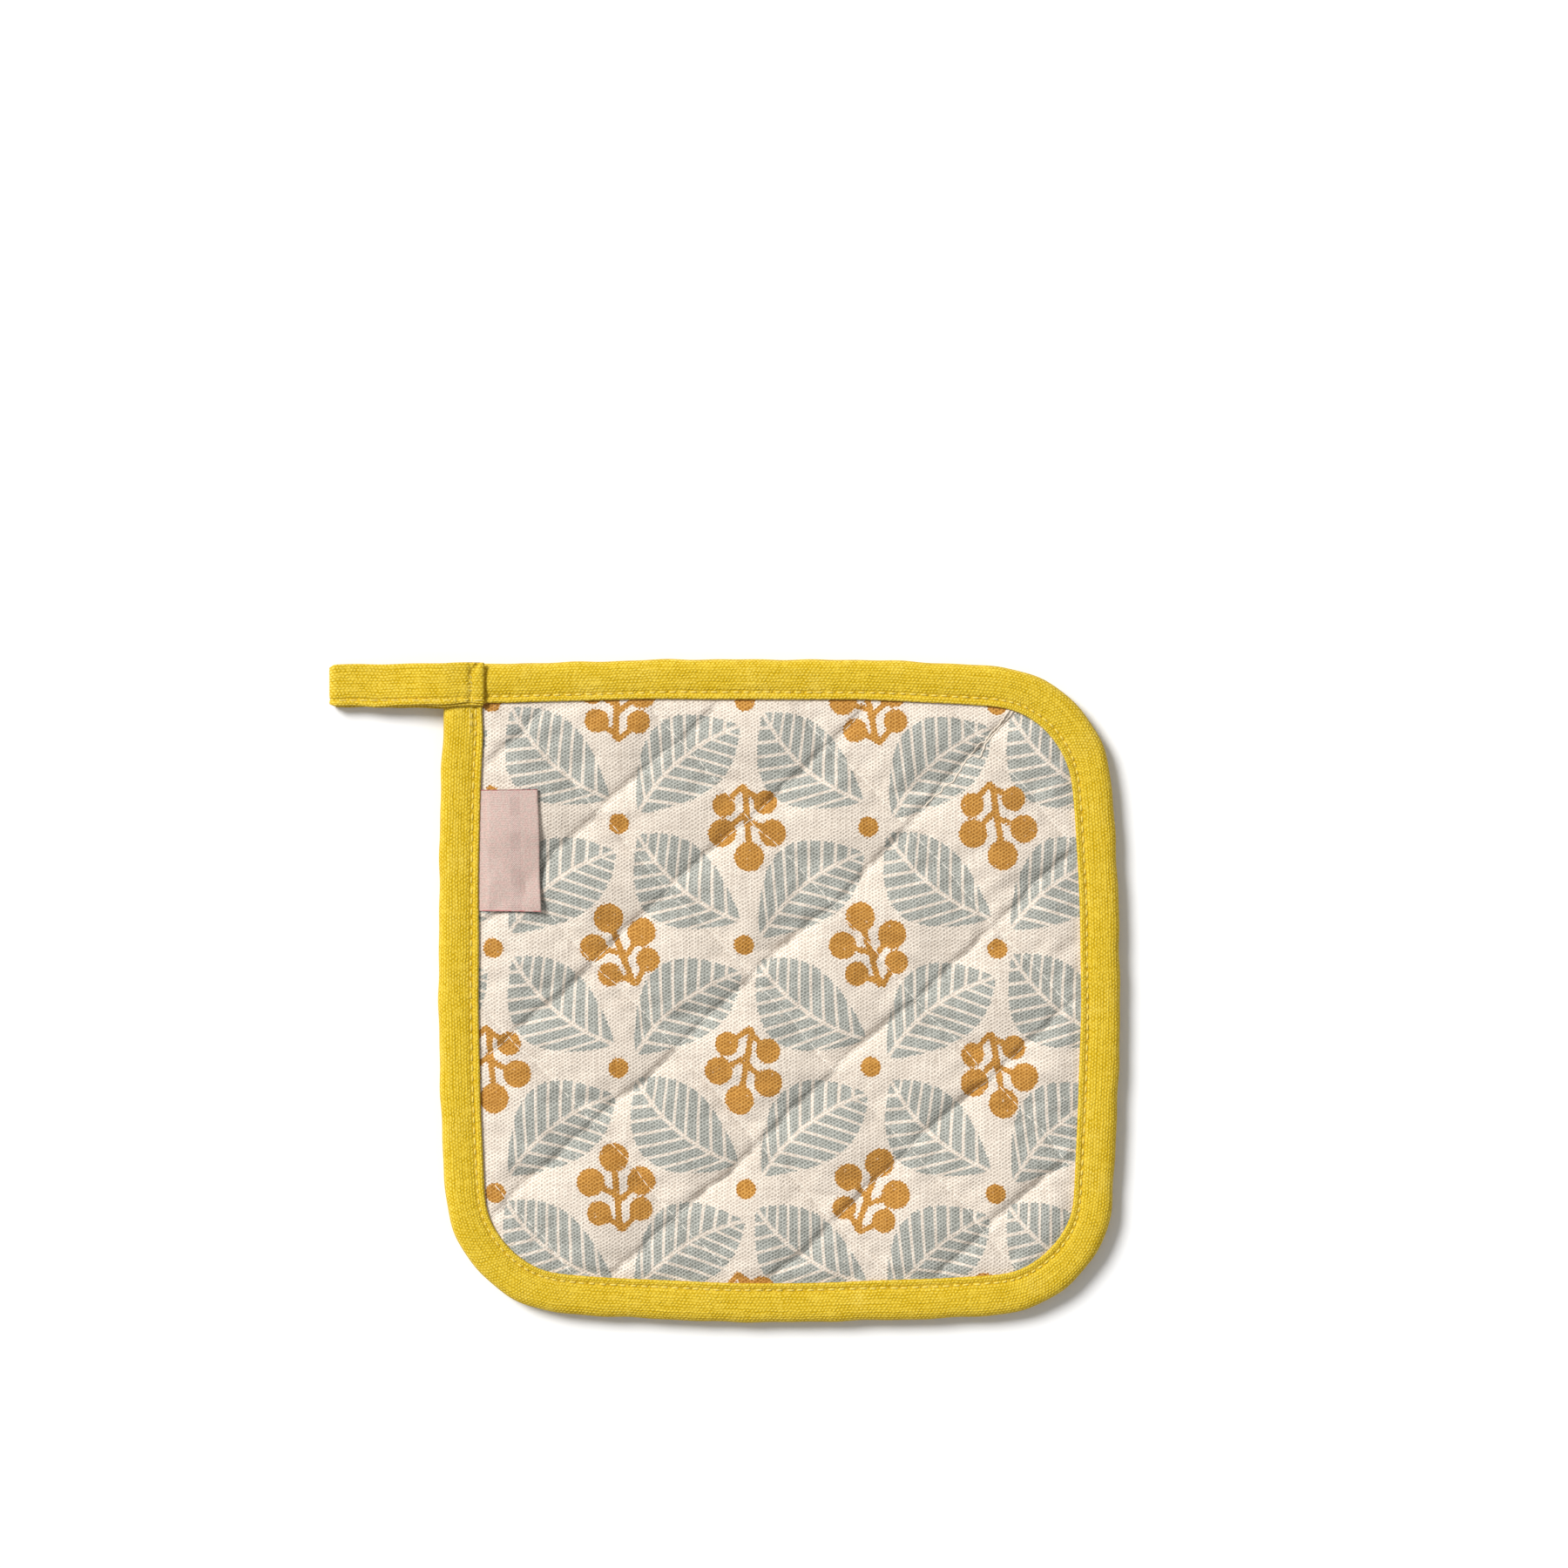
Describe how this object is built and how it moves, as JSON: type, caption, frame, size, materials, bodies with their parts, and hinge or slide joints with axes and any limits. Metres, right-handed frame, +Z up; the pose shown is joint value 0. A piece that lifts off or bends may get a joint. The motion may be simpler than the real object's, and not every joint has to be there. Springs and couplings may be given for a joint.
{
  "type": "pot holder",
  "caption": "Square quilted cloth pot holder with three rounded corners, a bound edge, a flat hanging loop at the square corner and a small side label.",
  "frame": {"origin": "centre of the whole object's box (pad and loop) in X and Y, on the surface that its back cover lies on", "axes": "+Z up through the pad towards the printed front; +X away from the loop, along the top side; +Y towards the side that carries the loop"},
  "size_m": [0.232, 0.195, 0.0105],
  "materials": {
    "canvas_print": "matt plain-weave canvas, printed",
    "canvas_natural": "matt plain-weave canvas, natural",
    "cotton_wadding": "matt needled fibre",
    "binding_canvas": "matt yellow canvas tape",
    "label_satin": "satin-woven ribbon"
  },
  "bodies": {
    "root": {"front_cover": "canvas_print", "wadding": "cotton_wadding", "back_cover": "canvas_natural", "edge_binding": "binding_canvas", "hanging_loop": "binding_canvas", "woven_label": "label_satin"}
  },
  "joints": []
}
